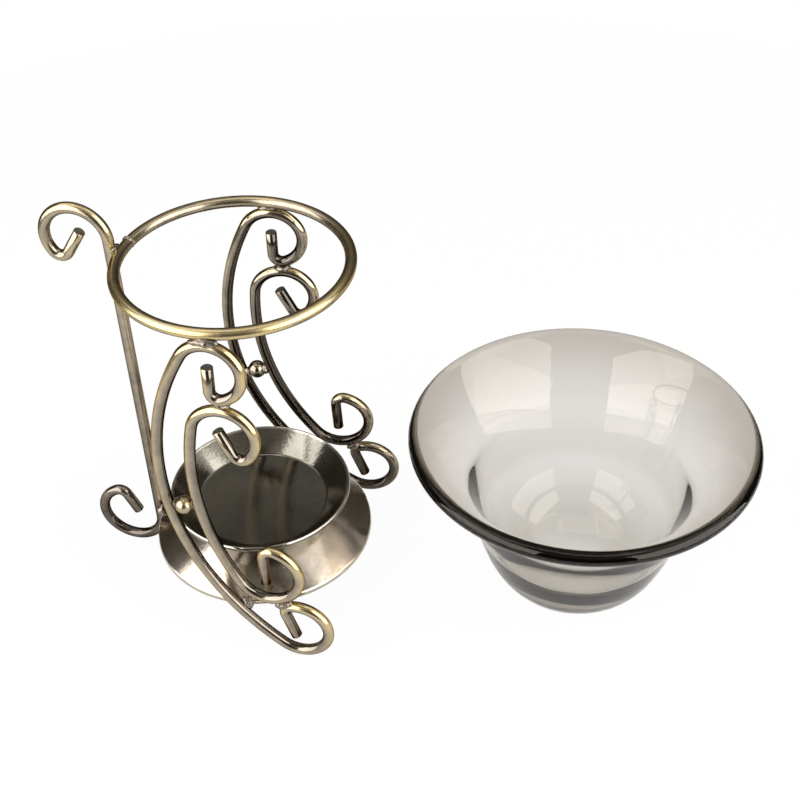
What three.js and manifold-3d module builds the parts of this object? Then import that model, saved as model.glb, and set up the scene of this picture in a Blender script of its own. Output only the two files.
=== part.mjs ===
// Essential oil lamp: a stand of bent and welded wire that carries a tealight cup,
// and the loose glass bowl that is set into the stand's ring, here standing beside it.
// Millimetres, +Z up. The stand's front faces +X, its near side frame is at -Y.
import * as THREE from 'three';
import { mergeVertices } from 'three/addons/utils/BufferGeometryUtils.js';
import Module from 'manifold-3d';

const wasm = await Module();
wasm.setup();

// Driving dimensions: wire and fits
const WIRE_DIAMETER = 3.5;
const WELD_GAP = 0.3;
const TIGHT_BEND_RADIUS = 2.8;

// Driving dimensions: ring that holds the bowl, measured to the wire's centreline
const RING_RADIUS = 34;
const RING_HEIGHT = 121;

// Driving dimensions: tealight cup, a spun dish on a spun skirt
const SHEET = 0.9;
const DISH_RIM_RADIUS = 29.5;
const DISH_RIM_HEIGHT = 34.2;
const DISH_DEPTH = 6.8;
const DISH_FLOOR_RADIUS = 21.5;
const DISH_LIP = 1.2;
const SKIRT_TOP_RADIUS = 20.5;
const SKIRT_EDGE_HEIGHT = 15.4;
const SKIRT_HEM = 1.6;
const SHEET_ROUND = 0.3;

// Driving dimensions: side frames, in each frame's own plane (forward, up)
const SIDE_SPLAY = 3.8;
const NEAR = { label: 'near', side: -1, footReach: 23.7, ballHeight: 56 };
const FAR = { label: 'far', side: 1, footReach: 29.7, ballHeight: 52.5 };
const OUTER = {
  curlReach: 3.9,
  bodyRadius: 83,
  top: { radius: 9.3, leave: -69, bend: 112, stub: 8.2 },
  foot: { radius: 9.5, leave: 103, bend: 96, stub: 9.6 },
};
const INNER = {
  curlReach: 5.7,
  setback: 9,
  bodyRadius: 82,
  top: { radius: 9.6, leave: -44, bend: 111, stub: 9 },
  foot: { radius: 10.2, leave: 75, bend: 107, stub: 10.5 },
};

// Driving dimensions: rear leg, in its own plane (outward, up)
const REAR = {
  bearing: 177.5,
  curlHeight: 124,
  top: { radius: 10, leave: -35, bend: 112, stub: 9.3 },
  foot: { radius: 10.4, leave: 64, bend: 90, stub: 7.6 },
};

// Driving dimensions: glass bowl. Outside, the wall is drawn from the base round the belly to the neck, and
// from there it flares to the rim: the belly and the knee are the handles of these two curves. Inside, it
// comes down from the rim to the waist and round the hollow to the floor.
const BOWL_PLACE = new THREE.Vector2(103.3, 10.7);
const BOWL_HEIGHT = 62;
const BOWL_RIM_RADIUS = 54.5;
const BOWL_RIM_BEAD = 2.3;
const BOWL_KNEE = new THREE.Vector2(38.6, 45.5);
const BOWL_KNEE_WALL = 4.4;
const BOWL_NECK = new THREE.Vector2(36.6, 37);
const BOWL_BELLY = new THREE.Vector2(30.8, 17);
const BOWL_BASE_RADIUS = 13;
const BOWL_BASE_HANDLE = 28.5;
const BOWL_WAIST = new THREE.Vector2(29.6, 26);
const BOWL_HOLLOW = new THREE.Vector2(26.6, 13.5);
const BOWL_FLOOR_HANDLE = 18;
const BOWL_BASE_THICKNESS = 4.4;

// Weld beads, as half sizes across the joint, out of it and along it
const RING_WELD = [1.6, 1.3, 4.2];
const CURL_WELD = [1.6, 1.2, 3];
const CROSS_WELD = [1.5, 1.4, 2.6];
const SKIRT_WELD = [2, 1.6, 2.2];
const BALL_WELD = [1.3, 1.2, 1.8];
const BUTT_WELD_HALF_LENGTH = 1.3;
const BUTT_WELD_HEIGHT = 0.7;
const BUTT_WELD_ANGLE = 170;

// Facets
const WIRE_SIDES = 10;
const CURL_STEP = 18;
const BODY_STEP = 6;
const TIGHT_STEP = 28;
const LATHE_SEGMENTS = 44;
const CURVE_POINTS = 8;
const BEAD_SEGMENTS = [10, 6];
const BALL_SEGMENTS = [16, 10];

const WIRE_RADIUS = WIRE_DIAMETER / 2;
const WIRE_PITCH = WIRE_DIAMETER + WELD_GAP;
const CUT_RADIUS = WIRE_RADIUS + WELD_GAP;
const SKIRT_EDGE_RADIUS = RING_RADIUS + WIRE_RADIUS;
const REAR_REACH = RING_RADIUS + WIRE_PITCH;
const DISH_FLOOR_HEIGHT = DISH_RIM_HEIGHT - DISH_DEPTH;
const SKIRT_TOP_HEIGHT = DISH_FLOOR_HEIGHT - SHEET - WELD_GAP;
const SCROLL_TOP = RING_HEIGHT - WIRE_PITCH;
const UP = new THREE.Vector3(0, 0, 1);

const radians = THREE.MathUtils.degToRad;
const polar = (angle, radius = 1) => new THREE.Vector2(radius, 0).rotateAround(new THREE.Vector2(), angle);

const materials = {
  wire: new THREE.MeshStandardMaterial({ color: 0x8a7a4e, roughness: 0.32, metalness: 1 }),
  weld: new THREE.MeshStandardMaterial({ color: 0x7b7568, roughness: 0.5, metalness: 1 }),
  cup: new THREE.MeshStandardMaterial({ color: 0x55504a, roughness: 0.25, metalness: 1 }),
  glass: new THREE.MeshStandardMaterial({
    color: 0x9a948c, roughness: 0.05, metalness: 0, transparent: true, opacity: 0.4,
  }),
};

function named(name, geometry, material) {
  const mesh = new THREE.Mesh(geometry, material);
  mesh.name = name;
  return mesh;
}

// Boolean helpers: a geometry as a closed solid, and back

function toSolid(geometry) {
  const bare = geometry.clone();
  bare.deleteAttribute('normal');
  bare.deleteAttribute('uv');
  const merged = mergeVertices(bare);
  const vertProperties = merged.attributes.position.array;
  const triVerts = new Uint32Array(merged.index.array);
  return new wasm.Manifold(new wasm.Mesh({ numProp: 3, vertProperties, triVerts }));
}

function toGeometry(solid) {
  const mesh = solid.getMesh();
  const geometry = new THREE.BufferGeometry();
  geometry.setAttribute('position', new THREE.BufferAttribute(mesh.vertProperties.slice(), 3));
  geometry.setIndex(new THREE.BufferAttribute(mesh.triVerts.slice(), 1));
  geometry.computeVertexNormals();
  return geometry;
}

// Bent wire: stations of a flat path of straights and arcs, closer together where it bends

class BentWire extends THREE.Curve {
  constructor(stations) {
    super();
    this.stations = stations;
    this.steps = stations.length - 1;
  }

  station(u) {
    return this.stations[Math.round(u * this.steps)];
  }

  getPointAt(u, target = new THREE.Vector3()) {
    const { point } = this.station(u);
    return target.set(point.x, point.y, 0);
  }

  getTangentAt(u, target = new THREE.Vector3()) {
    const { tangent } = this.station(u);
    return target.set(tangent.x, tangent.y, 0);
  }
}

function arcStations(center, radius, from, to, stepDegrees) {
  const count = Math.max(2, Math.ceil((to - from) / radians(stepDegrees)));
  return Array.from({ length: count + 1 }, (_, i) => {
    const angle = from + ((to - from) * i) / count;
    return {
      point: polar(angle, radius).add(center),
      tangent: polar(angle + Math.PI / 2),
    };
  });
}

// A curl's end: the wire leaves the curl's circle into a tight bend and ends in a straight stub.
// Paths run counterclockwise, so a path's first end is drawn before its curl and its last end after.

function tightBendCenter(center, end) {
  return polar(radians(end.leave), end.radius - TIGHT_BEND_RADIUS).add(center);
}

function firstEnd(center, end) {
  const leave = radians(end.leave);
  const start = leave - radians(end.bend);
  const bend = arcStations(tightBendCenter(center, end), TIGHT_BEND_RADIUS, start, leave, TIGHT_STEP);
  const { point, tangent } = bend[0];
  const tip = { point: point.clone().addScaledVector(tangent, -end.stub), tangent };
  return [tip, ...bend];
}

function lastEnd(center, end) {
  const leave = radians(end.leave) + 2 * Math.PI;
  const finish = leave + radians(end.bend);
  const bend = arcStations(tightBendCenter(center, end), TIGHT_BEND_RADIUS, leave, finish, TIGHT_STEP);
  const { point, tangent } = bend.at(-1);
  const tip = { point: point.clone().addScaledVector(tangent, end.stub), tangent };
  return [...bend, tip];
}

// The centre of the long body arc that touches both curls' circles from outside
function bodyCenter(topCenter, topRadius, footCenter, footRadius, bodyRadius) {
  const toTop = bodyRadius - topRadius;
  const toFoot = bodyRadius - footRadius;
  const line = footCenter.clone().sub(topCenter);
  const length = line.length();
  const along = (toTop ** 2 - toFoot ** 2 + length ** 2) / (2 * length);
  const across = Math.sqrt(toTop ** 2 - along ** 2);
  const unit = line.divideScalar(length);
  const forward = new THREE.Vector2(-unit.y, unit.x);
  return topCenter.clone().addScaledVector(unit, along).addScaledVector(forward, across);
}

function scrollPath(scroll, topCenter, footCenter) {
  const { top, foot, bodyRadius } = scroll;
  const center = bodyCenter(topCenter, top.radius, footCenter, foot.radius, bodyRadius);
  const turn = (curl) => curl.clone().sub(center).angle();
  const shoulder = turn(topCenter);
  const ankle = turn(footCenter);
  const footLeave = radians(foot.leave) + 2 * Math.PI;
  const stations = [
    ...firstEnd(topCenter, top),
    ...arcStations(topCenter, top.radius, radians(top.leave), shoulder, CURL_STEP).slice(1),
    ...arcStations(center, bodyRadius, shoulder, ankle, BODY_STEP).slice(1),
    ...arcStations(footCenter, foot.radius, ankle, footLeave, CURL_STEP).slice(1),
    ...lastEnd(footCenter, foot).slice(1),
  ];
  return { curve: new BentWire(stations), center, radius: bodyRadius };
}

function rearPath() {
  const { top, foot, curlHeight } = REAR;
  const topCenter = new THREE.Vector2(REAR_REACH + top.radius, curlHeight);
  const footCenter = new THREE.Vector2(REAR_REACH + foot.radius, WIRE_RADIUS + foot.radius);
  const footLeave = radians(foot.leave) + 2 * Math.PI;
  return new BentWire([
    ...firstEnd(topCenter, top),
    ...arcStations(topCenter, top.radius, radians(top.leave), Math.PI, CURL_STEP).slice(1),
    ...arcStations(footCenter, foot.radius, Math.PI, footLeave, CURL_STEP),
    ...lastEnd(footCenter, foot).slice(1),
  ]);
}

function wireGeometry(curve, radius = WIRE_RADIUS) {
  const corner = (_, i) => polar((i * 2 * Math.PI) / WIRE_SIDES, radius);
  const section = new THREE.Shape(Array.from({ length: WIRE_SIDES }, corner));
  return new THREE.ExtrudeGeometry(section, { steps: curve.steps, extrudePath: curve });
}

// Weld bead: a blob over a joint, cut clear of the pieces that it joins

function weld(name, center, axes, halfSizes, neighbours) {
  const [width, height] = BEAD_SEGMENTS;
  const blob = new THREE.SphereGeometry(1, width, height);
  blob.scale(...halfSizes);
  blob.applyMatrix4(new THREE.Matrix4().makeBasis(...axes).setPosition(center));
  const cut = neighbours.reduce((solid, neighbour) => solid.subtract(neighbour), toSolid(blob));
  return named(name, toGeometry(cut), materials.weld);
}

// Weld bead in the corner beside a contact, level with the wire's surface there
function cornerWeld(name, contact, axes, halfSizes, neighbours) {
  return weld(name, contact.clone().addScaledVector(axes[1], WIRE_RADIUS), axes, halfSizes, neighbours);
}

// The three axes of a joint: across it, out of it, and along it
function jointAxes(across, along) {
  const x = across.clone().normalize();
  const y = along.clone().cross(x).normalize();
  return [x, y, x.clone().cross(y)];
}

// Ring

function ringGeometry(tubeRadius) {
  const torus = new THREE.TorusGeometry(RING_RADIUS, tubeRadius, WIRE_SIDES, LATHE_SEGMENTS);
  return torus.translate(0, 0, RING_HEIGHT);
}

const ringCut = toSolid(ringGeometry(CUT_RADIUS));

function buttWeld() {
  const angle = radians(BUTT_WELD_ANGLE);
  const outward = new THREE.Vector3(Math.cos(angle), Math.sin(angle), 0);
  const center = outward.clone().multiplyScalar(RING_RADIUS).setZ(RING_HEIGHT);
  const axes = jointAxes(UP, UP.clone().cross(outward));
  const crown = CUT_RADIUS + BUTT_WELD_HEIGHT;
  return weld('ring_butt_weld', center, axes, [crown, crown, BUTT_WELD_HALF_LENGTH], [ringCut]);
}

// Tealight cup

function latheGeometry(points) {
  const lathe = new THREE.LatheGeometry(points, LATHE_SEGMENTS);
  return lathe.rotateX(Math.PI / 2);
}

function dishGeometry() {
  const under = DISH_FLOOR_HEIGHT - SHEET;
  const lipStart = DISH_RIM_RADIUS - DISH_LIP;
  const lipUnder = DISH_RIM_HEIGHT - SHEET;
  const profile = new THREE.Path();
  profile.moveTo(0, under);
  profile.lineTo(DISH_FLOOR_RADIUS, under);
  profile.lineTo(lipStart + SHEET_ROUND, lipUnder - SHEET);
  profile.lineTo(DISH_RIM_RADIUS, lipUnder);
  profile.lineTo(DISH_RIM_RADIUS, DISH_RIM_HEIGHT - SHEET_ROUND);
  profile.lineTo(DISH_RIM_RADIUS - SHEET_ROUND, DISH_RIM_HEIGHT);
  profile.lineTo(lipStart, DISH_RIM_HEIGHT - SHEET_ROUND);
  profile.lineTo(DISH_FLOOR_RADIUS, DISH_FLOOR_HEIGHT + SHEET_ROUND);
  profile.lineTo(DISH_FLOOR_RADIUS - SHEET, DISH_FLOOR_HEIGHT);
  profile.lineTo(0, DISH_FLOOR_HEIGHT);
  return latheGeometry(profile.getPoints());
}

function skirtGeometry() {
  const under = SKIRT_TOP_HEIGHT - SHEET;
  const hemTop = SKIRT_EDGE_HEIGHT + SKIRT_HEM;
  const profile = new THREE.Path();
  profile.moveTo(0, under);
  profile.lineTo(SKIRT_TOP_RADIUS - SHEET, under);
  profile.lineTo(SKIRT_EDGE_RADIUS - SHEET, hemTop - SHEET_ROUND);
  profile.lineTo(SKIRT_EDGE_RADIUS - SHEET, SKIRT_EDGE_HEIGHT);
  profile.lineTo(SKIRT_EDGE_RADIUS, SKIRT_EDGE_HEIGHT);
  profile.lineTo(SKIRT_EDGE_RADIUS, hemTop);
  profile.lineTo(SKIRT_TOP_RADIUS, SKIRT_TOP_HEIGHT);
  profile.lineTo(0, SKIRT_TOP_HEIGHT);
  return latheGeometry(profile.getPoints());
}

// The room that a weld on the skirt's edge leaves for the skirt
function skirtCut() {
  const depth = SKIRT_TOP_HEIGHT - SKIRT_EDGE_HEIGHT;
  const hemRadius = SKIRT_EDGE_RADIUS + WELD_GAP;
  const hemTop = SKIRT_EDGE_HEIGHT + SKIRT_HEM;
  const slope = new THREE.CylinderGeometry(SKIRT_TOP_RADIUS, hemRadius, depth, LATHE_SEGMENTS);
  slope.rotateX(Math.PI / 2).translate(0, 0, hemTop + WELD_GAP + depth / 2);
  const hem = new THREE.CylinderGeometry(hemRadius, hemRadius, depth, LATHE_SEGMENTS);
  hem.rotateX(Math.PI / 2).translate(0, 0, hemTop + WELD_GAP - depth / 2);
  return toSolid(slope).add(toSolid(hem));
}

const skirtRoom = skirtCut();

// Weld bead between a wire and the skirt's edge, on one side of the wire
function skirtWeld(name, wirePoint, outward, towards, wireCut) {
  const axes = jointAxes(outward, outward.clone().cross(towards));
  const contact = wirePoint.clone().addScaledVector(outward, -WIRE_RADIUS);
  return cornerWeld(name, contact, axes, SKIRT_WELD, [wireCut, skirtRoom]);
}

// Side frame: an outer scroll with an inner scroll and a ball inside it, all in one leaning plane

// The frame's plane touches the ring's circle at the top and passes the skirt's edge lower down
function sidePlane(side, skirtOffset) {
  const splay = radians(SIDE_SPLAY);
  const forward = new THREE.Vector3(Math.cos(splay), side * Math.sin(splay), 0);
  const outward = new THREE.Vector3(-Math.sin(splay), side * Math.cos(splay), 0);
  const lean = Math.atan2(skirtOffset - RING_RADIUS, SCROLL_TOP - SKIRT_EDGE_HEIGHT);
  const upward = UP.clone().multiplyScalar(Math.cos(lean)).addScaledVector(outward, -Math.sin(lean));
  const base = outward.clone().multiplyScalar(RING_RADIUS + SCROLL_TOP * Math.tan(lean));
  return new THREE.Matrix4().makeBasis(forward, upward, forward.clone().cross(upward)).setPosition(base);
}

// How far forward a scroll's body arc is at a height
function bodyReach({ center, radius }, height) {
  return center.x - Math.sqrt(radius ** 2 - (height - center.y) ** 2);
}

function ballGeometry(center, radius) {
  return new THREE.SphereGeometry(radius, ...BALL_SEGMENTS).translate(center.x, center.y, 0);
}

function sideFrame({ label, side, footReach, ballHeight }) {
  const topCenter = new THREE.Vector2(OUTER.curlReach, SCROLL_TOP - OUTER.top.radius);
  const footCenter = new THREE.Vector2(footReach, WIRE_RADIUS + OUTER.foot.radius);
  const outer = scrollPath(OUTER, topCenter, footCenter);

  // The inner scroll hangs under the outer one's top hook and stands on its foot curl
  const hookCenter = tightBendCenter(topCenter, OUTER.top);
  const topPitch = TIGHT_BEND_RADIUS + INNER.top.radius + WIRE_PITCH;
  const topDrop = Math.sqrt(topPitch ** 2 - (INNER.curlReach - hookCenter.x) ** 2);
  const innerTop = new THREE.Vector2(INNER.curlReach, hookCenter.y - topDrop);
  const footPitch = OUTER.foot.radius + INNER.foot.radius + WIRE_PITCH;
  const footRise = Math.sqrt(footPitch ** 2 - INNER.setback ** 2);
  const innerFoot = new THREE.Vector2(footReach - INNER.setback, footCenter.y + footRise);
  const inner = scrollPath(INNER, innerTop, innerFoot);

  // The ball fills the room between the two body arcs at its height
  const outerPoint = new THREE.Vector2(bodyReach(outer, ballHeight), ballHeight);
  const toInner = inner.center.clone().sub(outerPoint);
  const room = toInner.length() - inner.radius;
  const ballRadius = room / 2 - WIRE_RADIUS - WELD_GAP;
  const acrossBodies = toInner.clone().normalize();
  const ballCenter = outerPoint.clone().addScaledVector(acrossBodies, room / 2);

  // The outer scroll passes close outside the skirt's edge
  const skirtReach = bodyReach(outer, SKIRT_EDGE_HEIGHT);
  const skirtPitch = SKIRT_EDGE_RADIUS + WIRE_RADIUS + WELD_GAP;
  const skirtOffset = Math.sqrt(skirtPitch ** 2 - skirtReach ** 2);
  const plane = sidePlane(side, skirtOffset);

  const outerCut = toSolid(wireGeometry(outer.curve, CUT_RADIUS).applyMatrix4(plane));
  const innerCut = toSolid(wireGeometry(inner.curve, CUT_RADIUS).applyMatrix4(plane));
  const ballCut = toSolid(ballGeometry(ballCenter, ballRadius + WELD_GAP).applyMatrix4(plane));

  const flat = (vector) => new THREE.Vector3(vector.x, vector.y, 0);
  const normal = new THREE.Vector3().setFromMatrixColumn(plane, 2);
  const forward = new THREE.Vector3().setFromMatrixColumn(plane, 0);
  const joint = (name, point, across, halfSizes, neighbours) => {
    const acrossPlane = flat(across).transformDirection(plane);
    const axes = jointAxes(acrossPlane, acrossPlane.clone().cross(normal));
    return cornerWeld(`${label}_${name}`, flat(point).applyMatrix4(plane), axes, halfSizes, neighbours);
  };

  const hookToInner = innerTop.clone().sub(hookCenter).normalize();
  const topJoint = hookCenter.clone().addScaledVector(hookToInner, TIGHT_BEND_RADIUS + WIRE_PITCH / 2);
  const footToInner = innerFoot.clone().sub(footCenter).normalize();
  const footJoint = footCenter.clone().addScaledVector(footToInner, OUTER.foot.radius + WIRE_PITCH / 2);
  const ballStep = ballRadius + WELD_GAP / 2;
  const outerBallJoint = ballCenter.clone().addScaledVector(acrossBodies, -ballStep);
  const innerBallJoint = ballCenter.clone().addScaledVector(acrossBodies, ballStep);
  const ringJoint = new THREE.Vector3(OUTER.curlReach, SCROLL_TOP + WIRE_PITCH / 2, 0).applyMatrix4(plane);
  const skirtWire = new THREE.Vector3(skirtReach, SKIRT_EDGE_HEIGHT, 0).applyMatrix4(plane);
  const skirtOut = skirtWire.clone().setZ(0).normalize();
  const skirtSpoke = outer.center.clone().sub(new THREE.Vector2(skirtReach, SKIRT_EDGE_HEIGHT));
  const aboveWire = flat(skirtSpoke).transformDirection(plane);

  const frame = new THREE.Group();
  frame.add(
    named(`${label}_outer_scroll`, wireGeometry(outer.curve).applyMatrix4(plane), materials.wire),
    named(`${label}_inner_scroll`, wireGeometry(inner.curve).applyMatrix4(plane), materials.wire),
    named(`${label}_ball`, ballGeometry(ballCenter, ballRadius).applyMatrix4(plane), materials.wire),
    joint('top_curl_weld', topJoint, hookToInner, CURL_WELD, [outerCut, innerCut]),
    joint('foot_curl_weld', footJoint, footToInner, CURL_WELD, [outerCut, innerCut]),
    joint('outer_ball_weld', outerBallJoint, acrossBodies, BALL_WELD, [outerCut, ballCut]),
    joint('inner_ball_weld', innerBallJoint, acrossBodies, BALL_WELD, [innerCut, ballCut]),
    cornerWeld(`${label}_ring_weld`, ringJoint, jointAxes(UP, forward), RING_WELD, [ringCut, outerCut]),
    skirtWeld(`${label}_skirt_weld`, skirtWire, skirtOut, aboveWire, outerCut),
  );
  return frame;
}

// Rear leg: an upright behind the ring and the skirt, curled outward at both ends

function rearLeg() {
  const bearing = radians(REAR.bearing);
  const outward = new THREE.Vector3(Math.cos(bearing), Math.sin(bearing), 0);
  const plane = new THREE.Matrix4().makeBasis(outward, UP, outward.clone().cross(UP));
  const curve = rearPath();
  const legCut = toSolid(wireGeometry(curve, CUT_RADIUS).applyMatrix4(plane));
  const ringJoint = outward.clone().multiplyScalar(RING_RADIUS + WIRE_PITCH / 2).setZ(RING_HEIGHT);
  const skirtWire = outward.clone().multiplyScalar(REAR_REACH).setZ(SKIRT_EDGE_HEIGHT + SKIRT_HEM);
  const aside = UP.clone().cross(outward);
  const ringAxes = jointAxes(outward, outward.clone().cross(UP));
  const leg = new THREE.Group();
  leg.add(
    named('rear_leg', wireGeometry(curve).applyMatrix4(plane), materials.wire),
    cornerWeld('rear_ring_weld', ringJoint, ringAxes, CROSS_WELD, [ringCut, legCut]),
    skirtWeld('rear_skirt_weld', skirtWire, outward, aside, legCut),
  );
  return leg;
}

// Glass bowl: a round-bottomed body whose thick wall flares above the neck to a rounded rim

function bowlGeometry() {
  const rim = new THREE.Vector2(BOWL_RIM_RADIUS - BOWL_RIM_BEAD, BOWL_HEIGHT - BOWL_RIM_BEAD);
  const innerKnee = new THREE.Vector2(BOWL_KNEE.x - BOWL_KNEE_WALL, BOWL_KNEE.y);
  const floor = BOWL_BASE_THICKNESS;

  // The bearing on the rim's bead where a line from a knee touches it
  const touch = (knee, side) => {
    const spoke = knee.clone().sub(rim);
    return spoke.angle() + side * Math.acos(BOWL_RIM_BEAD / spoke.length());
  };
  const beadStart = touch(BOWL_KNEE, 1) - 2 * Math.PI;
  const beadEnd = touch(innerKnee, -1);
  const underRim = polar(beadStart, BOWL_RIM_BEAD).add(rim);

  const profile = new THREE.Path();
  profile.moveTo(0, 0);
  profile.lineTo(BOWL_BASE_RADIUS, 0);
  profile.bezierCurveTo(BOWL_BASE_HANDLE, 0, ...BOWL_BELLY, ...BOWL_NECK);
  profile.quadraticCurveTo(...BOWL_KNEE, ...underRim);
  profile.absarc(...rim, BOWL_RIM_BEAD, beadStart, beadEnd, false);
  profile.quadraticCurveTo(...innerKnee, ...BOWL_WAIST);
  profile.bezierCurveTo(...BOWL_HOLLOW, BOWL_FLOOR_HANDLE, floor, 0, floor);
  return latheGeometry(profile.getPoints(CURVE_POINTS));
}

const stand = new THREE.Group();
stand.add(
  named('bowl_ring', ringGeometry(WIRE_RADIUS), materials.wire),
  buttWeld(),
  named('tealight_dish', dishGeometry(), materials.cup),
  named('cup_skirt', skirtGeometry(), materials.cup),
  sideFrame(NEAR),
  sideFrame(FAR),
  rearLeg(),
);

const bowl = named('glass_bowl', bowlGeometry(), materials.glass);
bowl.position.set(BOWL_PLACE.x, BOWL_PLACE.y, 0);

// The origin is under the middle of the whole set, on the surface that it stands on
const lamp = new THREE.Group();
lamp.add(stand, bowl);
lamp.updateMatrixWorld(true);
const extent = new THREE.Box3().setFromObject(lamp, true);
const middle = extent.getCenter(new THREE.Vector3());
lamp.position.set(-middle.x, -middle.y, -extent.min.z);

export default lamp;
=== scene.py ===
from math import acos, atan2, ceil, cos, pi, radians, sin, sqrt, tan

import bmesh
import bpy
from mathutils import Matrix, Vector, noise


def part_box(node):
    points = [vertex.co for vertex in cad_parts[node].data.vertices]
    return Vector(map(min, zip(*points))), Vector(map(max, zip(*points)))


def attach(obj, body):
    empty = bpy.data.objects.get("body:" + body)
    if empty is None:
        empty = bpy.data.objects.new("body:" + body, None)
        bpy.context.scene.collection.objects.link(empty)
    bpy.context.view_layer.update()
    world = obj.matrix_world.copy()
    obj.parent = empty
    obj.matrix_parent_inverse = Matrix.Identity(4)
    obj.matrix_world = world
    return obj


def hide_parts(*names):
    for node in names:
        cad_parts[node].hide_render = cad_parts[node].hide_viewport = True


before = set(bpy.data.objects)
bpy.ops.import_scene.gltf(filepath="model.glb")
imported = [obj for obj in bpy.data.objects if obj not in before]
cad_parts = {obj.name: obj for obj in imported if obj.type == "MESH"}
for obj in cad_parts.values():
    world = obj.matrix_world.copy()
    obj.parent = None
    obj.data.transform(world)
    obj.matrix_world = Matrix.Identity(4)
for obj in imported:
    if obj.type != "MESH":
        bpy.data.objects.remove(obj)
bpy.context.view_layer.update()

# Sizes in millimetres. They are those of the solids, apart from finer edges and corners
MM = 0.001
WIRE_RADIUS = 1.75
WELD_GAP = 0.3
WIRE_PITCH = 2 * WIRE_RADIUS + WELD_GAP
TIGHT_BEND_RADIUS = 2.8
RING_RADIUS = 34
RING_HEIGHT = 121
SCROLL_TOP = RING_HEIGHT - WIRE_PITCH
SIDE_SPLAY = radians(3.8)
REAR_REACH = RING_RADIUS + WIRE_PITCH
REAR_BEARING = radians(177.5)
REAR_CURL_HEIGHT = 124
BUTT_WELD_BEARING = radians(170)
SHEET = 0.9
DISH_RIM_RADIUS = 29.5
DISH_RIM_HEIGHT = 34.2
DISH_FLOOR_HEIGHT = 27.4
DISH_FLOOR_RADIUS = 21.5
DISH_LIP = 0.55
DISH_LIP_DROP = 0.65
DISH_EDGE_LOW = DISH_RIM_HEIGHT - 1.6 * SHEET
DISH_WALL_TOP = DISH_RIM_HEIGHT - 2 * SHEET
DISH_WALL_STEP = 0.3
DISH_CORNER = 0.7
SKIRT_TOP_RADIUS = 20.5
SKIRT_TOP_HEIGHT = DISH_FLOOR_HEIGHT - SHEET - WELD_GAP
SKIRT_EDGE_RADIUS = RING_RADIUS + WIRE_RADIUS
SKIRT_EDGE_HEIGHT = 15.4
SKIRT_HEM = 1.6
SKIRT_HEM_STEP = 0.3
SKIRT_CORNER = 0.6
BOWL_HEIGHT = 62
BOWL_RIM_RADIUS = 54.5
BOWL_RIM_BEAD = 2.3
BOWL_KNEE = Vector((38.6, 45.5))
BOWL_KNEE_WALL = 4.4
BOWL_NECK = Vector((36.6, 37))
BOWL_BELLY = Vector((30.8, 17))
BOWL_BASE_RADIUS = 13
BOWL_BASE_HANDLE = 28.5
BOWL_WAIST = Vector((29.6, 26))
BOWL_HOLLOW = Vector((26.6, 13.5))
BOWL_FLOOR_HANDLE = 18
BOWL_BASE_THICKNESS = 4.4

# Each end of a bent wire: curl radius, where the tight bend leaves the curl, how far it bends,
# and the length of the straight stub
OUTER_TOP = (9.3, radians(-69), radians(112), 8.2)
OUTER_FOOT = (9.5, radians(103), radians(96), 9.6)
INNER_TOP = (9.6, radians(-44), radians(111), 9)
INNER_FOOT = (10.2, radians(75), radians(107), 10.5)
REAR_TOP = (10, radians(-35), radians(112), 9.3)
REAR_FOOT = (10.4, radians(64), radians(90), 7.6)
OUTER_BODY_RADIUS = 83
INNER_BODY_RADIUS = 82
OUTER_CURL_REACH = 3.9
INNER_CURL_REACH = 5.7
INNER_SETBACK = 9

# Side frames: name, side, how far forward the foot is, height of the ball
FRAMES = (("near", -1, 23.7, 56), ("far", 1, 29.7, 52.5))

# Weld beads, as half sizes across the joint, out of it and along it
RING_WELD = (1.5, 2.1, 4.0)
CURL_WELD = (1.4, 1.9, 2.6)
CROSS_WELD = (1.3, 1.2, 1.8)
SKIRT_WELD = (1.9, 2.0, 2.2)
BALL_WELD = (1.1, 1.7, 1.7)
BEAD_LIFT = 0.7
BUTT_WELD_PROUD = 0.15
BUTT_WELD_HALF = 0.9

# Unevenness of the beads and balls, as shares of their size
LUMPS = 0.22
LUMP_SCALE = 1.7
FINE_LUMPS = 0.08
FINE_LUMP_SCALE = 3
BALL_DENTS = 0.004

# The mesh value that says how far a spot on a wire lies on the outside of its bend, from -1 to 1
BEND_OUTSIDE = "bend_outside"

# Colours of plating seen at a low angle and of the painted highlight along the dish's top edge, and how far
# down that painted highlight goes
EDGE_TINT = (0.3, 0.26, 0.22, 1)
RIM_HIGHLIGHT = (0.42, 0.39, 0.34, 1)
DISH_HIGHLIGHT_DEPTH = 0.5
HIGHLIGHT_FADE = 0.2

# How much painted light a wire gets where it faces up, and how much brass shows in patches and in specks
UP_LIGHT = 0.1
PATCH_RUB = 0.5
SPECK_RUB = 0.1

# The glass: reflections, tint of light that goes through a depth of it, and tint of lamplight behind it
GLASS_IOR = 1.5
GLASS_ROUGHNESS = 0.01
GLASS_GLEAM = (0.76, 0.70, 0.62, 1)
GLASS_DEPTH = (0.57, 0.535, 0.465, 1)
GLASS_DENSITY = 170
LAMP_THROUGH_GLASS = (0.99, 0.985, 0.98, 1)
RIPPLE_STRETCH = (0.7, 0.7, 1.4)

# Welds made from the side that faces away in the photograph
BACK_WELDS = ("near_top_curl_weld", "near_outer_ball_weld", "near_inner_ball_weld", "far_ring_weld")

# Fineness of the meshes
WIRE_SIDES = 24
CURL_STEP = radians(5)
BODY_STEP = radians(1.5)
TIGHT_STEP = radians(9)
RIM_STEP = radians(8)
RING_STEP = radians(2.5)
END_CHAMFER = 0.22
LATHE_SEGMENTS = 128
CURVE_POINTS = 20
CORNER_POINTS = 4
BEAD_SUBDIVISIONS = 4
BALL_SEGMENTS = 40
BALL_RINGS = 24
FLOOR_SEGMENTS = 96

# A side of a profile is at least this many times the reach of the rounded corners at its ends
SIDE_PER_CORNER = 2.2

UP = Vector((0, 0, 1))


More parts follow.
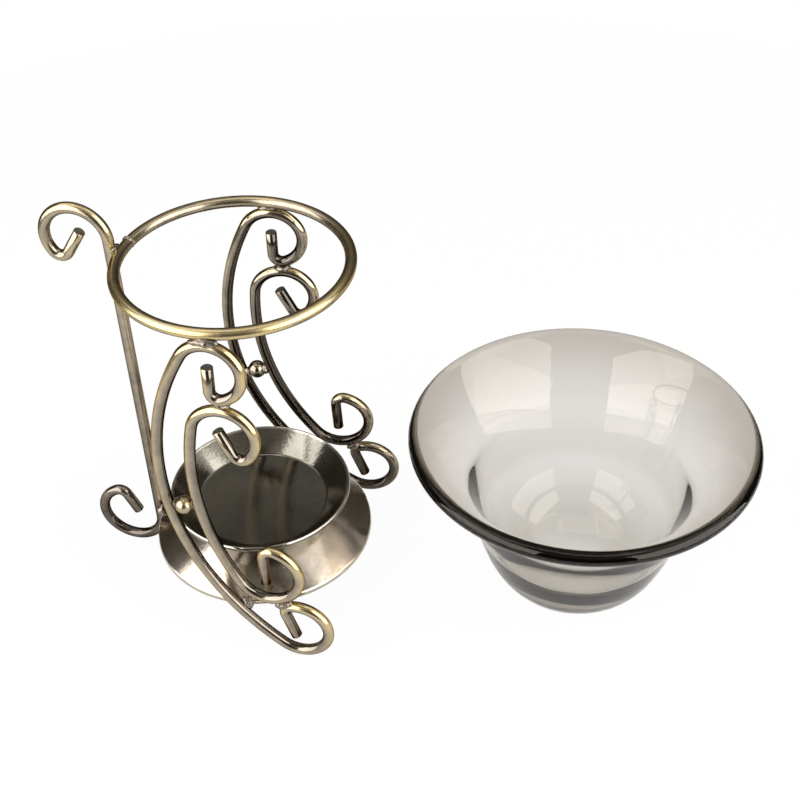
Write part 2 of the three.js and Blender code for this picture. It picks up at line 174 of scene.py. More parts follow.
def middle(node):
    low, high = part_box(node)
    return Vector(((low.x + high.x) / 2, (low.y + high.y) / 2, 0)) / MM


stand_place = Matrix.Translation(middle("bowl_ring"))
bowl_place = Matrix.Translation(middle("glass_bowl"))


# Pieces and their meshes

def make_piece(name, build, materials, body, slot, *nodes):
    """A smooth mesh, whose faces build(bm) makes in millimetres, as a piece in place of solids."""
    bm = bmesh.new()
    build(bm)
    bmesh.ops.recalc_face_normals(bm, faces=bm.faces)
    bmesh.ops.scale(bm, vec=(MM, MM, MM), verts=bm.verts)
    mesh = bpy.data.meshes.new(name)
    bm.to_mesh(mesh)
    bm.free()
    for material in materials:
        mesh.materials.append(material)
    piece = bpy.data.objects.new(name, mesh)
    bpy.context.scene.collection.objects.link(piece)
    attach(piece, body)
    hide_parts(*nodes)


def skin(bm, rings, wrap):
    """Smooth quads between rings of vertices."""
    following = rings[1:] + rings[:1] if wrap else rings[1:]
    for low, high in zip(rings, following):
        for k in range(len(low)):
            after = (k + 1) % len(low)
            face = bm.faces.new((low[k], low[after], high[after], high[k]))
            face.smooth = True


def polar(angle, radius=1.0):
    return Vector((cos(angle), sin(angle))) * radius


def turn(vector):
    return atan2(vector.y, vector.x) % (2 * pi)


# Bent wires, as stations in a flat plane: a point and the wire's direction there

def arc(center, radius, start, end, step):
    count = max(2, ceil((end - start) / step))
    angles = [start + (end - start) * i / count for i in range(count + 1)]
    return [(center + polar(a, radius), polar(a + pi / 2)) for a in angles]


def bend_center(center, end):
    radius, leave, _, _ = end
    return center + polar(leave, radius - TIGHT_BEND_RADIUS)


def first_end(center, end):
    _, leave, bend, stub = end
    stations = arc(bend_center(center, end), TIGHT_BEND_RADIUS, leave - bend, leave, TIGHT_STEP)
    point, direction = stations[0]
    return [(point - direction * stub, direction)] + stations


def last_end(center, end):
    _, leave, bend, stub = end
    start = leave + 2 * pi
    stations = arc(bend_center(center, end), TIGHT_BEND_RADIUS, start, start + bend, TIGHT_STEP)
    point, direction = stations[-1]
    return stations + [(point + direction * stub, direction)]


def scroll_path(top, top_center, foot, foot_center, body_radius):
    """A scroll's stations and the centre of its body arc, which touches both curls' circles."""
    line = foot_center - top_center
    to_top = body_radius - top[0]
    to_foot = body_radius - foot[0]
    along = (to_top ** 2 - to_foot ** 2 + line.length_squared) / (2 * line.length)
    unit = line.normalized()
    center = top_center + unit * along + Vector((-unit.y, unit.x)) * sqrt(to_top ** 2 - along ** 2)
    shoulder = turn(top_center - center)
    ankle = turn(foot_center - center)
    stations = first_end(top_center, top)
    stations += arc(top_center, top[0], top[1], shoulder, CURL_STEP)[1:]
    stations += arc(center, body_radius, shoulder, ankle, BODY_STEP)[1:]
    stations += arc(foot_center, foot[0], ankle, foot[1] + 2 * pi, CURL_STEP)[1:]
    stations += last_end(foot_center, foot)[1:]
    return stations, center


def rear_path():
    top_center = Vector((REAR_REACH + REAR_TOP[0], REAR_CURL_HEIGHT))
    foot_center = Vector((REAR_REACH + REAR_FOOT[0], WIRE_RADIUS + REAR_FOOT[0]))
    stations = first_end(top_center, REAR_TOP)
    stations += arc(top_center, REAR_TOP[0], REAR_TOP[1], pi, CURL_STEP)[1:]
    stations += arc(foot_center, REAR_FOOT[0], pi, REAR_FOOT[1] + 2 * pi, CURL_STEP)
    stations += last_end(foot_center, REAR_FOOT)[1:]
    return stations


def wire(bm, stations, plane, closed=False):
    """A round wire along stations in a plane, with sheared ends that have a small chamfer."""
    outside = bm.verts.layers.float.new(BEND_OUTSIDE)

    def corner(point, side, angle, radius):
        across, out = polar(angle, radius)
        spot = point + side * across
        vert = bm.verts.new(plane @ Vector((spot.x, spot.y, out)))
        vert[outside] = -cos(angle)
        return vert

    def ring(point, direction, radius):
        side = Vector((-direction.y, direction.x))
        return [corner(point, side, 2 * pi * k / WIRE_SIDES, radius) for k in range(WIRE_SIDES)]

    if closed:
        skin(bm, [ring(point, direction, WIRE_RADIUS) for point, direction in stations], True)
        return
    (start, first), (end, last) = stations[0], stations[-1]
    face_radius = WIRE_RADIUS - END_CHAMFER
    rings = [ring(start, first, face_radius), ring(start + first * END_CHAMFER, first, WIRE_RADIUS)]
    rings += [ring(point, direction, WIRE_RADIUS) for point, direction in stations[1:-1]]
    rings += [ring(end - last * END_CHAMFER, last, WIRE_RADIUS), ring(end, last, face_radius)]
    skin(bm, rings, False)
    for cap in (rings[0], rings[-1]):
        face = bm.faces.new(cap)
        face.material_index = 1


def bead(bm, contact, axes, half_sizes, seed):
    """A lumpy weld bead over a joint."""
    center = contact + axes[1] * BEAD_LIFT
    made = bmesh.ops.create_icosphere(bm, subdivisions=BEAD_SUBDIVISIONS, radius=1)
    for vert in made["verts"]:
        spot = vert.co * LUMP_SCALE + Vector((seed, 2 * seed, 3 * seed))
        swell = 1 + LUMPS * noise.noise(spot) + FINE_LUMPS * noise.noise(spot * FINE_LUMP_SCALE)
        steps = [a * c * h * swell for a, c, h in zip(axes, vert.co, half_sizes)]
        vert.co = center + sum(steps, Vector())
    for face in bm.faces:
        face.smooth = True


def joint_axes(across, along):
    """Axes of a weld bead: across the joint, out of it and along it."""
    x = across.normalized()
    y = along.cross(x).normalized()
    return x, y, x.cross(y)


# Turned pieces

def bezier(p, q, r, s):
    """Points on a curve from p to s, with handles q and r, after its start."""
    def point(t):
        return p * (1 - t) ** 3 + q * 3 * t * (1 - t) ** 2 + r * 3 * t * t * (1 - t) + s * t ** 3

    return [point(i / CURVE_POINTS) for i in range(1, CURVE_POINTS + 1)]


def quadratic(p, q, r):
    return bezier(p, p + (q - p) * (2 / 3), r + (q - r) * (2 / 3), r)


def rounded(points, radius):
    """A profile with all its corners rounded but the first and last."""
    result = [points[0]]
    for before, corner, after in zip(points, points[1:], points[2:]):
        shorter = min((before - corner).length, (after - corner).length)
        reach = min(radius, shorter / SIDE_PER_CORNER)
        a = corner + (before - corner).normalized() * reach
        b = corner + (after - corner).normalized() * reach
        for i in range(CORNER_POINTS + 1):
            t = i / CORNER_POINTS
            result.append(a * (1 - t) ** 2 + corner * 2 * t * (1 - t) + b * t * t)
    return result + [points[-1]]


def lathe(bm, profile, place):
    """A closed body turned about the upright axis: the profile starts and ends on the axis."""
    angles = [2 * pi * k / LATHE_SEGMENTS for k in range(LATHE_SEGMENTS)]

    def turned_ring(point):
        spots = [Vector((point.x * cos(a), point.x * sin(a), point.y)) for a in angles]
        return [bm.verts.new(place @ spot) for spot in spots]

    rings = [turned_ring(point) for point in profile[1:-1]]
    skin(bm, rings, False)
    for ring, end in ((rings[0], profile[0]), (rings[-1], profile[-1])):
        pole = bm.verts.new(place @ Vector((0, 0, end.y)))
        for k in range(LATHE_SEGMENTS):
            face = bm.faces.new((pole, ring[k], ring[(k + 1) % LATHE_SEGMENTS]))
            face.smooth = True


def dish_profile():
    under = DISH_FLOOR_HEIGHT - SHEET
    lip = DISH_RIM_RADIUS - DISH_LIP
    points = [
        (0, under), (DISH_FLOOR_RADIUS, under), (lip + DISH_WALL_STEP, DISH_WALL_TOP),
        (DISH_RIM_RADIUS, DISH_EDGE_LOW), (DISH_RIM_RADIUS, DISH_RIM_HEIGHT - DISH_LIP_DROP),
        (lip, DISH_RIM_HEIGHT), (DISH_FLOOR_RADIUS, DISH_FLOOR_HEIGHT), (0, DISH_FLOOR_HEIGHT),
    ]
    return rounded([Vector(p) for p in points], DISH_CORNER)


def skirt_profile():
    under = SKIRT_TOP_HEIGHT - SHEET
    inside = SKIRT_EDGE_RADIUS - SHEET
    hem_top = SKIRT_EDGE_HEIGHT + SKIRT_HEM
    points = [
        (0, under), (SKIRT_TOP_RADIUS - SHEET, under),
        (inside, hem_top - SKIRT_HEM_STEP), (inside, SKIRT_EDGE_HEIGHT),
        (SKIRT_EDGE_RADIUS, SKIRT_EDGE_HEIGHT), (SKIRT_EDGE_RADIUS, hem_top),
        (SKIRT_TOP_RADIUS, SKIRT_TOP_HEIGHT), (0, SKIRT_TOP_HEIGHT),
    ]
    return rounded([Vector(p) for p in points], SKIRT_CORNER)


def bowl_profile():
    """Outside from the base round belly and neck to the rim, and back down the inside."""
    rim = Vector((BOWL_RIM_RADIUS - BOWL_RIM_BEAD, BOWL_HEIGHT - BOWL_RIM_BEAD))
    inner_knee = BOWL_KNEE - Vector((BOWL_KNEE_WALL, 0))
    base = Vector((BOWL_BASE_RADIUS, 0))
    floor = Vector((0, BOWL_BASE_THICKNESS))

    def touch(knee, side):
        spoke = knee - rim
        return turn(spoke) + side * acos(BOWL_RIM_BEAD / spoke.length)

    bead_start = touch(BOWL_KNEE, 1) - 2 * pi
    rim_points = [p for p, _ in arc(rim, BOWL_RIM_BEAD, bead_start, touch(inner_knee, -1), RIM_STEP)]
    points = [Vector((0, 0)), base / 2, base]
    points += bezier(base, Vector((BOWL_BASE_HANDLE, 0)), BOWL_BELLY, BOWL_NECK)
    points += quadratic(BOWL_NECK, BOWL_KNEE, rim_points[0])
    points += rim_points[1:]
    points += quadratic(rim_points[-1], inner_knee, BOWL_WAIST)
    points += bezier(BOWL_WAIST, BOWL_HOLLOW, Vector((BOWL_FLOOR_HANDLE, BOWL_BASE_THICKNESS)), floor)
    return points


# Materials

def add_node(tree, kind, inputs=None, **settings):
    """A shader node with its settings, and its inputs as values or links from other nodes."""
    node = tree.nodes.new(kind)
    for key, value in settings.items():
        setattr(node, key, value)
    for key, value in (inputs or {}).items():
        if isinstance(value, bpy.types.NodeSocket):
            tree.links.new(value, node.inputs[key])
        else:
            node.inputs[key].default_value = value
    return node


def new_material(name):
    material = bpy.data.materials.new(name)
    material.use_nodes = True
    return material, material.node_tree, material.node_tree.nodes["Principled BSDF"]


def noise_value(tree, scale, detail, roughness=0.55, stretch=(1, 1, 1)):
    spot = add_node(tree, "ShaderNodeTexCoord").outputs["Object"]
    stretched = add_node(tree, "ShaderNodeVectorMath", {0: spot, 1: stretch}, operation="MULTIPLY")
    inputs = {"Vector": stretched.outputs[0], "Scale": scale, "Detail": detail, "Roughness": roughness}
    return add_node(tree, "ShaderNodeTexNoise", inputs).outputs["Fac"]


def spot_height(tree):
    """Height above the floor at rest, in metres."""
    spot = add_node(tree, "ShaderNodeTexCoord").outputs["Object"]
    return add_node(tree, "ShaderNodeSeparateXYZ", {"Vector": spot}).outputs["Z"]


def remap(tree, value, low, high, to_low, to_high):
    inputs = {"Value": value, "From Min": low, "From Max": high, "To Min": to_low, "To Max": to_high}
    return add_node(tree, "ShaderNodeMapRange", inputs).outputs["Result"]


def ramp(tree, value, stops):
    node = add_node(tree, "ShaderNodeValToRGB", {"Fac": value})
    elements = node.color_ramp.elements
    while len(elements) < len(stops):
        elements.new(0.5)
    for element, (position, color) in zip(elements, stops):
        element.position = position
        element.color = (*color, 1)
    return node.outputs["Color"]


def bump(tree, height, strength, distance):
    inputs = {"Height": height, "Strength": strength, "Distance": distance}
    return add_node(tree, "ShaderNodeBump", inputs).outputs["Normal"]


def connect(tree, shader, **sockets):
    for name, socket in sockets.items():
        tree.links.new(socket, shader.inputs[name.replace("_", " ")])


def weighted(tree, *terms):
    """The sum of values, each times its weight."""
    total = 0.0
    for value, weight in terms:
        inputs = {0: value, 1: weight, 2: total}
        total = add_node(tree, "ShaderNodeMath", inputs, operation="MULTIPLY_ADD").outputs[0]
    return total


def blend(tree, share, start, end):
    inputs = {"Factor": share, "A": start, "B": end}
    return add_node(tree, "ShaderNodeMix", inputs, data_type="RGBA").outputs["Result"]


def antique_brass(name, floor_light, ring_light, bend_rub, smooth, rough):
    """Brown plating, bright brass outside bends and in patches and specks, with painted light where it faces
    up and painted light and shade that change with height.
    """
    material, tree, shader = new_material(name)
    shader.inputs["Metallic"].default_value = 1
    shader.inputs["Specular Tint"].default_value = EDGE_TINT
    patch = noise_value(tree, scale=180, detail=3)
    speck = noise_value(tree, scale=900, detail=2)
    normal = add_node(tree, "ShaderNodeNewGeometry").outputs["Normal"]
    facing_up = add_node(tree, "ShaderNodeSeparateXYZ", {"Vector": normal}).outputs["Z"]
    # Painted light and shade by height, from the floor to the ring, set per copy
    height_light = remap(tree, spot_height(tree), 0, RING_HEIGHT * MM, floor_light, ring_light)
    outside = add_node(tree, "ShaderNodeAttribute", attribute_name=BEND_OUTSIDE).outputs["Fac"]
    # Painted light where a wire faces up, with wear outside bends and in patches and specks
    wear_and_light = weighted(
        tree, (height_light, 1), (facing_up, UP_LIGHT), (outside, bend_rub), (patch, PATCH_RUB), (speck, SPECK_RUB),
    )
    color = ramp(tree, wear_and_light, (
        (0.0, (0.095, 0.082, 0.068)),
        (0.3, (0.25, 0.215, 0.173)),
        (0.5, (0.41, 0.348, 0.254)),
        (0.68, (0.57, 0.452, 0.235)),
    ))
    roughness = remap(tree, wear_and_light, 0.1, 0.7, smooth, rough)
    connect(tree, shader, Base_Color=color, Roughness=roughness)
    return material


def cut_steel():
    """The sheared face at a wire's end."""
    material, tree, shader = new_material("cut_steel")
    shader.inputs["Metallic"].default_value = 1
    grain = noise_value(tree, scale=2200, detail=4)
    color = ramp(tree, grain, ((0.3, (0.16, 0.145, 0.125)), (0.7, (0.34, 0.31, 0.265))))
    roughness = remap(tree, grain, 0.3, 0.7, 0.35, 0.6)
    normal = bump(tree, grain, strength=0.5, distance=0.00015)
    connect(tree, shader, Base_Color=color, Roughness=roughness, Normal=normal)
    return material


def weld_metal():
    """Brown plating over a bead, with bright and dark spots."""
    material, tree, shader = new_material("weld_metal")
    shader.inputs["Metallic"].default_value = 1
    mottle = noise_value(tree, scale=700, detail=4)
    grain = noise_value(tree, scale=1600, detail=3)
    color = ramp(tree, mottle, (
        (0.3, (0.12, 0.10, 0.085)),
        (0.5, (0.25, 0.215, 0.175)),
        (0.7, (0.38, 0.33, 0.27)),
    ))
    roughness = remap(tree, grain, 0.3, 0.7, 0.2, 0.4)
    normal = bump(tree, mottle, strength=0.3, distance=0.0002)
    connect(tree, shader, Base_Color=color, Roughness=roughness, Normal=normal)
    return material


def spun_sheet(name, shades, smooth, rough, highlight_height):
    """Polished plating on spun sheet, with faint stains, a slightly uneven surface and a painted highlight
    along the top edge.
    """
    material, tree, shader = new_material(name)
    shader.inputs["Metallic"].default_value = 1
    stain = noise_value(tree, scale=70, detail=5, roughness=0.65)
    grain = noise_value(tree, scale=900, detail=4)
    color = ramp(tree, stain, tuple(zip((0.3, 0.5, 0.7), shades)))
    # Painted highlight: a lighter colour along the top edge
    highlight_share = remap(tree, spot_height(tree), (highlight_height - HIGHLIGHT_FADE) * MM, highlight_height * MM, 0, 1)
    roughness = remap(tree, stain, 0.3, 0.75, smooth, rough)
    normal = bump(tree, grain, strength=0.14, distance=0.0002)
    connect(tree, shader, Base_Color=blend(tree, highlight_share, color, RIM_HIGHLIGHT), Roughness=roughness, Normal=normal)
    return material


def smoked_glass():
    """Thick glass with a warm grey tint that lamps shine through, and a surface colour that gets darker
    towards the rim.
    """
    material, tree, shader = new_material("smoked_glass")
    shader.inputs["Transmission Weight"].default_value = 1
    shader.inputs["IOR"].default_value = GLASS_IOR
    shader.inputs["Roughness"].default_value = GLASS_ROUGHNESS
    shader.inputs["Specular Tint"].default_value = GLASS_GLEAM
    # Surface colour that gets darker towards the rim
    share = remap(tree, spot_height(tree), 0, BOWL_HEIGHT * MM, 0, 1)
    tint = ramp(tree, share, (
        (0.405, (1, 1, 1)),
        (0.425, (0.95, 0.935, 0.915)),
        (0.62, (0.955, 0.94, 0.922)),
        (0.82, (0.895, 0.87, 0.848)),
        (1.0, (0.735, 0.692, 0.652)),
    ))
    ripple = noise_value(tree, scale=45, detail=2, roughness=0.4, stretch=RIPPLE_STRETCH)
    connect(tree, shader, Base_Color=tint, Normal=bump(tree, ripple, strength=0.2, distance=0.0012))
    clear = add_node(tree, "ShaderNodeBsdfTransparent", {"Color": LAMP_THROUGH_GLASS})
    path = add_node(tree, "ShaderNodeLightPath")
    mix = add_node(tree, "ShaderNodeMixShader", {
        "Fac": path.outputs["Is Shadow Ray"], 1: shader.outputs["BSDF"], 2: clear.outputs["BSDF"],
    })
    inputs = {"Color": GLASS_DEPTH, "Density": GLASS_DENSITY}
    depth = add_node(tree, "ShaderNodeVolumeAbsorption", inputs)
    output = tree.nodes["Material Output"]
    tree.links.new(mix.outputs["Shader"], output.inputs["Surface"])
    tree.links.new(depth.outputs["Volume"], output.inputs["Volume"])
    return material


# Platings: painted light or shade at the floor and at the ring, how much wear outside bends, and the least
# and most roughness. They are copies of one plating, lit or shaded per piece with painted light and shade;
# the far frame and its ball are the darkest
brass = antique_brass("antique_brass", 0.14, 0.15, 0.3, 0.1, 0.2)
far_brass = antique_brass("far_brass", -0.27, -0.06, 0.42, 0.07, 0.17)
ring_brass = antique_brass("ring_brass", 0.23, 0.23, 0.1, 0.16, 0.26)
rear_brass = antique_brass("rear_brass", -0.2, 0.17, 0.12, 0.14, 0.24)
ball_brass = antique_brass("ball_brass", 0.2, 0.2, 0, 0.18, 0.26)
far_ball_brass = antique_brass("far_ball_brass", 0.06, 0.06, 0, 0.05, 0.1)
cut = cut_steel()
weld = weld_metal()

# Sheets: shades from dark to light, the least and most roughness, and the height where the painted
# highlight along the top edge is full, which for the skirt is above its top
# The dish and skirt are one plating: the dish's darker shades are painted shade, the skirt's lighter shades
# painted light
DISH_SHADES = ((0.14, 0.134, 0.112), (0.185, 0.174, 0.145), (0.22, 0.2, 0.165))
SKIRT_SHADES = ((0.34, 0.30, 0.255), (0.50, 0.44, 0.37), (0.62, 0.53, 0.42))
dish_sheet = spun_sheet("dish_sheet", DISH_SHADES, 0.07, 0.15, DISH_RIM_HEIGHT - DISH_HIGHLIGHT_DEPTH)
skirt_sheet = spun_sheet("skirt_sheet", SKIRT_SHADES, 0.12, 0.2, DISH_RIM_HEIGHT)

glass = smoked_glass()


# The stand

def wire_piece(name, stations, plane, plating, closed=False):
    def build(bm):
        wire(bm, stations, stand_place @ plane, closed)
    make_piece(name, build, (plating, cut), "stand", "wire", name)


def weld_piece(name, contact, axes, half_sizes):
    x, y, z = axes
    lift = -y if name in BACK_WELDS else y

    def build(bm):
        bead(bm, stand_place @ contact, (x, lift, z), half_sizes, len(name))
    make_piece(name, build, (weld,), "stand", "weld", name)


def turned_piece(name, profile, place, material, body, slot):
    def build(bm):
        lathe(bm, profile, place)
    make_piece(name, build, (material,), body, slot, name)


def side_plane(side, skirt_offset):
    """The leaning plane of a side frame, which touches the ring above and the skirt's edge below."""
    forward = Vector((cos(SIDE_SPLAY), side * sin(SIDE_SPLAY), 0))
    outward = Vector((-sin(SIDE_SPLAY), side * cos(SIDE_SPLAY), 0))
    lean = atan2(skirt_offset - RING_RADIUS, SCROLL_TOP - SKIRT_EDGE_HEIGHT)
    upward = UP * cos(lean) - outward * sin(lean)
    plane = Matrix((forward, upward, forward.cross(upward))).transposed().to_4x4()
    plane.translation = outward * (RING_RADIUS + SCROLL_TOP * tan(lean))
    return plane


def ball(bm, center, radius):
    made = bmesh.ops.create_uvsphere(bm, u_segments=BALL_SEGMENTS, v_segments=BALL_RINGS, radius=radius)
    for vert in made["verts"]:
        vert.co *= 1 + BALL_DENTS * noise.noise(vert.co)
    bmesh.ops.translate(bm, verts=made["verts"], vec=center)
    for face in bm.faces:
        face.smooth = True


def inner_curls(hook_center, foot_center):
    """Centres of the inner scroll's curls, below the outer scroll's hook and on its foot curl."""
    top_pitch = TIGHT_BEND_RADIUS + INNER_TOP[0] + WIRE_PITCH
    drop = sqrt(top_pitch ** 2 - (INNER_CURL_REACH - hook_center.x) ** 2)
    foot_pitch = OUTER_FOOT[0] + INNER_FOOT[0] + WIRE_PITCH
    rise = sqrt(foot_pitch ** 2 - INNER_SETBACK ** 2)
    return Vector((INNER_CURL_REACH, hook_center.y - drop)), foot_center + Vector((-INNER_SETBACK, rise))


def body_reach(outer_center, height):
    """How far forward the outer scroll's body is at a height."""
    return outer_center.x - sqrt(OUTER_BODY_RADIUS ** 2 - (height - outer_center.y) ** 2)


def fitted_ball(outer_center, inner_center, height):
    """The ball between the two scrolls' bodies: its centre, its radius and the direction across."""
    outer_point = Vector((body_reach(outer_center, height), height))
    across = (inner_center - outer_point).normalized()
    room = (inner_center - outer_point).length - INNER_BODY_RADIUS
    return outer_point + across * room / 2, room / 2 - WIRE_RADIUS - WELD_GAP, across


def side_frame(plating, ball_plating, label, side, foot_reach, ball_height):
    """Two scrolls, the ball between them and their welds."""
    top_center = Vector((OUTER_CURL_REACH, SCROLL_TOP - OUTER_TOP[0]))
    foot_center = Vector((foot_reach, WIRE_RADIUS + OUTER_FOOT[0]))
    outer, outer_center = scroll_path(OUTER_TOP, top_center, OUTER_FOOT, foot_center, OUTER_BODY_RADIUS)

    hook_center = bend_center(top_center, OUTER_TOP)
    inner_top, inner_foot = inner_curls(hook_center, foot_center)
    inner, inner_center = scroll_path(INNER_TOP, inner_top, INNER_FOOT, inner_foot, INNER_BODY_RADIUS)

    ball_center, ball_radius, across = fitted_ball(outer_center, inner_center, ball_height)

    skirt_reach = body_reach(outer_center, SKIRT_EDGE_HEIGHT)
    skirt_pitch = SKIRT_EDGE_RADIUS + WIRE_RADIUS + WELD_GAP
    plane = side_plane(side, sqrt(skirt_pitch ** 2 - skirt_reach ** 2))
    turned = plane.to_3x3()
    normal = turned.col[2]

    def flat_weld(name, point, direction, half_sizes):
        facing = turned @ direction.to_3d()
        axes = joint_axes(facing, facing.cross(normal))
        weld_piece(f"{label}_{name}", plane @ point.to_3d(), axes, half_sizes)

    wire_piece(f"{label}_outer_scroll", outer, plane, plating)
    wire_piece(f"{label}_inner_scroll", inner, plane, plating)
    ball_spot = stand_place @ plane @ ball_center.to_3d()
    name = f"{label}_ball"

    def build_ball(bm):
        ball(bm, ball_spot, ball_radius)
    make_piece(name, build_ball, (ball_plating,), "stand", "wire", name)

    hook_to_inner = (inner_top - hook_center).normalized()
    top_joint = hook_center + hook_to_inner * (TIGHT_BEND_RADIUS + WIRE_PITCH / 2)
    flat_weld("top_curl_weld", top_joint, hook_to_inner, CURL_WELD)
    foot_to_inner = (inner_foot - foot_center).normalized()
    foot_joint = foot_center + foot_to_inner * (OUTER_FOOT[0] + WIRE_PITCH / 2)
    flat_weld("foot_curl_weld", foot_joint, foot_to_inner, CURL_WELD)
    ball_step = across * (ball_radius + WELD_GAP / 2)
    flat_weld("outer_ball_weld", ball_center - ball_step, across, BALL_WELD)
    flat_weld("inner_ball_weld", ball_center + ball_step, across, BALL_WELD)

    ring_joint = plane @ Vector((OUTER_CURL_REACH, SCROLL_TOP + WIRE_PITCH / 2, 0))
    weld_piece(f"{label}_ring_weld", ring_joint, joint_axes(UP, turned.col[0]), RING_WELD)
    skirt_wire = plane @ Vector((skirt_reach, SKIRT_EDGE_HEIGHT, 0))
    skirt_out = Vector((skirt_wire.x, skirt_wire.y, 0)).normalized()
    above = turned @ (outer_center - Vector((skirt_reach, SKIRT_EDGE_HEIGHT))).to_3d()
    axes = joint_axes(skirt_out, skirt_out.cross(above))
    weld_piece(f"{label}_skirt_weld", skirt_wire - skirt_out * WIRE_RADIUS + axes[1], axes, SKIRT_WELD)


def bowl_ring():
    """The ring and the butt weld of its wire."""
    stations = arc(Vector((0, 0)), RING_RADIUS, 0, 2 * pi, RING_STEP)[:-1]
    wire_piece("bowl_ring", stations, Matrix.Translation(UP * RING_HEIGHT), ring_brass, closed=True)
    outward = polar(BUTT_WELD_BEARING).to_3d()
    spot = outward * RING_RADIUS + UP * (RING_HEIGHT - BEAD_LIFT / 2)
    half = WIRE_RADIUS + BUTT_WELD_PROUD
    axes = joint_axes(outward, outward.cross(UP))
    weld_piece("ring_butt_weld", spot, axes, (half, half, BUTT_WELD_HALF))


def rear_leg():
    """The upright behind the ring and its welds to the ring and the skirt."""
    outward = Vector((cos(REAR_BEARING), sin(REAR_BEARING), 0))
    plane = Matrix((outward, UP, outward.cross(UP))).transposed().to_4x4()
    wire_piece("rear_leg", rear_path(), plane, rear_brass)
    ring_joint = outward * (RING_RADIUS + WIRE_PITCH / 2) + UP * RING_HEIGHT
    weld_piece("rear_ring_weld", ring_joint, joint_axes(outward, outward.cross(UP)), CROSS_WELD)
    axes = joint_axes(outward, UP)
    skirt_joint = outward * (REAR_REACH - WIRE_RADIUS) + UP * (SKIRT_EDGE_HEIGHT + SKIRT_HEM)
    weld_piece("rear_skirt_weld", skirt_joint + axes[1], axes, SKIRT_WELD)


bowl_ring()
for platings, sizes in zip(((brass, ball_brass), (far_brass, far_ball_brass)), FRAMES):
    side_frame(*platings, *sizes)
rear_leg()
turned_piece("tealight_dish", dish_profile(), stand_place, dish_sheet, "stand", "cup")
turned_piece("cup_skirt", skirt_profile(), stand_place, skirt_sheet, "stand", "cup")
turned_piece("glass_bowl", bowl_profile(), bowl_place, glass, "bowl", "glass")


# Camera, fitted to the photograph: its place in millimetres from the stand's axis, before a turn about it
CAMERA_TURN = Matrix.Rotation(radians(11.612), 3, "Z")
CAMERA_SPOT = Vector((46.704, -317.181, 331.241))
CAMERA_PITCH = radians(39.688)
CAMERA_ROLL = radians(1.807)
FOCAL_PIXELS = 1319.34
PICTURE_PIXELS = 800
NEAR_CLIP = 0.01

# Floor, in metres, and its shares of plain white for rays of each kind
FLOOR_RADIUS = 1.2
FLOOR_DROP = 0.0002
FLOOR_FADE = (0.30, 0.46)
PAPER = (0.8, 0.8, 0.8)
FAR_PAPER = (0.1, 0.095, 0.085)
WHITE = (1, 1, 1, 1)
CAMERA_GLOW = 0.95
GLASS_GLOW = 0.85
GLOSS_GLOW = 0.2

# Where the world's white lower part, seen through glass, fades out
HORIZON = (0.5, 0.56)

# The room that metal and glass reflect, from low to high
ROOM = (
    (0.0, (0.066, 0.058, 0.047)),
    (0.35, (0.088, 0.079, 0.066)),
    (0.62, (0.16, 0.154, 0.144)),
    (0.74, (0.40, 0.385, 0.36)),
    (0.84, (0.50, 0.48, 0.44)),
    (0.92, (0.066, 0.06, 0.052)),
)

# Lamps: bearing from the front of the picture, height angle, distance, width, height, power
LAMPS = (
    ("left_softbox", -60, 32, 0.85, 0.95, 1.0, 11),
    ("right_softbox", 60, 32, 0.85, 0.95, 1.0, 11),
    ("top_softbox", 0, 90, 1.0, 0.7, 0.5, 1.4),
    ("left_panel", -100, 58, 0.85, 0.62, 0.5, 1.1),
    ("right_panel", 100, 58, 0.85, 0.62, 0.5, 0.85),
)
LAMP_AIM = Vector((0, 0, 0.05))
UPRIGHT_BELOW = 45


def make_camera():
    look = Vector((0, cos(CAMERA_PITCH), -sin(CAMERA_PITCH)))
    right = Vector((1, 0, 0)) * cos(CAMERA_ROLL) + look.cross(Vector((1, 0, 0))) * sin(CAMERA_ROLL)
    down = look.cross(right)
    camera_data = bpy.data.cameras.new("camera")
    camera_data.lens = FOCAL_PIXELS * camera_data.sensor_width / PICTURE_PIXELS
    camera_data.clip_start = NEAR_CLIP
    camera = bpy.data.objects.new("camera", camera_data)
    bpy.context.scene.collection.objects.link(camera)
    camera.matrix_world = (CAMERA_TURN @ Matrix((right, -down, -look)).transposed()).to_4x4()
    camera.location = (CAMERA_TURN @ CAMERA_SPOT + stand_place.translation) * MM
    bpy.context.scene.camera = camera


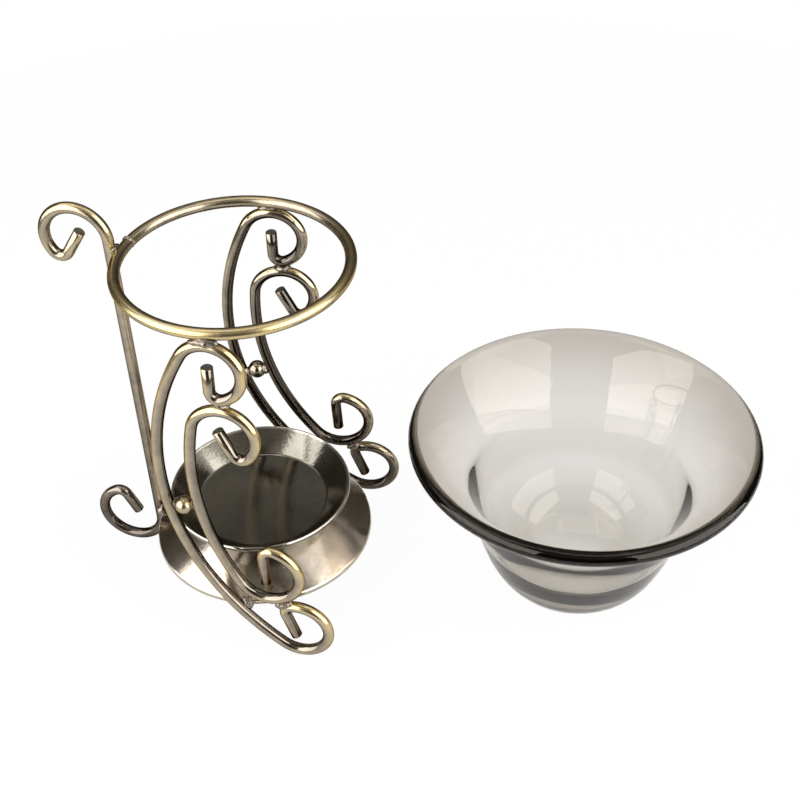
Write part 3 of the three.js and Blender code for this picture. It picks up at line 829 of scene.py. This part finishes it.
def white_paper():
    """Paper that takes shadows, white to the camera and pale to what reflects or looks through."""
    material, tree, shader = new_material("paper")
    tree.nodes.remove(shader)
    spot = add_node(tree, "ShaderNodeTexCoord").outputs["Object"]
    distance = add_node(tree, "ShaderNodeVectorMath", {0: spot}, operation="LENGTH").outputs["Value"]
    color = ramp(tree, remap(tree, distance, *FLOOR_FADE, 0, 1), ((0, PAPER), (1, FAR_PAPER)))
    diffuse = add_node(tree, "ShaderNodeBsdfDiffuse", {"Color": color})
    glow = add_node(tree, "ShaderNodeEmission", {"Color": WHITE, "Strength": 1})
    path = add_node(tree, "ShaderNodeLightPath").outputs
    share = weighted(
        tree, (path["Is Camera Ray"], remap(tree, distance, *FLOOR_FADE, CAMERA_GLOW, 1)),
        (path["Is Transmission Ray"], GLASS_GLOW),
        (path["Is Glossy Ray"], remap(tree, distance, *FLOOR_FADE, GLOSS_GLOW, 0)),
    )
    inputs = {"Fac": share, 1: diffuse.outputs["BSDF"], 2: glow.outputs["Emission"]}
    mix = add_node(tree, "ShaderNodeMixShader", inputs)
    tree.links.new(mix.outputs["Shader"], tree.nodes["Material Output"].inputs["Surface"])
    return material


def make_floor():
    mesh = bpy.data.meshes.new("floor")
    bm = bmesh.new()
    bmesh.ops.create_circle(bm, cap_ends=True, segments=FLOOR_SEGMENTS, radius=FLOOR_RADIUS)
    bm.to_mesh(mesh)
    bm.free()
    floor = bpy.data.objects.new("floor", mesh)
    floor.location.z = -FLOOR_DROP
    bpy.context.scene.collection.objects.link(floor)
    mesh.materials.append(white_paper())


def make_world():
    """White to the camera, a dark room in reflections, and pale below the horizon through glass."""
    world = bpy.data.worlds.new("studio")
    bpy.context.scene.world = world
    world.use_nodes = True
    tree = world.node_tree
    spot = add_node(tree, "ShaderNodeTexCoord").outputs["Generated"]
    height = add_node(tree, "ShaderNodeSeparateXYZ", {"Vector": spot}).outputs["Z"]
    path = add_node(tree, "ShaderNodeLightPath").outputs
    below = remap(tree, height, *HORIZON, GLASS_GLOW, 0)
    share = weighted(tree, (path["Is Camera Ray"], 1), (path["Is Transmission Ray"], below))
    color = blend(tree, share, ramp(tree, height, ROOM), WHITE)
    tree.links.new(color, tree.nodes["Background"].inputs["Color"])


def make_lamp(name, bearing, lift, distance, width, height, power):
    """A softbox that faces the middle of the picture. A low one hangs upright."""
    lamp_data = bpy.data.lights.new(name, "AREA")
    lamp_data.shape = "RECTANGLE"
    lamp_data.size = width
    lamp_data.size_y = height
    lamp_data.energy = power
    lamp = bpy.data.objects.new(name, lamp_data)
    bpy.context.scene.collection.objects.link(lamp)
    lamp.visible_camera = False
    level = cos(radians(lift))
    ahead = Vector((sin(radians(bearing)) * level, -cos(radians(bearing)) * level, sin(radians(lift))))
    back = CAMERA_TURN @ ahead
    lamp.location = LAMP_AIM + back * distance
    facing = Vector((back.x, back.y, 0)) if lift < UPRIGHT_BELOW else back
    lamp.rotation_euler = facing.to_track_quat("Z", "Y").to_euler()


make_camera()
make_floor()
make_world()
for lamp_sizes in LAMPS:
    make_lamp(*lamp_sizes)

bpy.context.scene.view_settings.view_transform = "Standard"
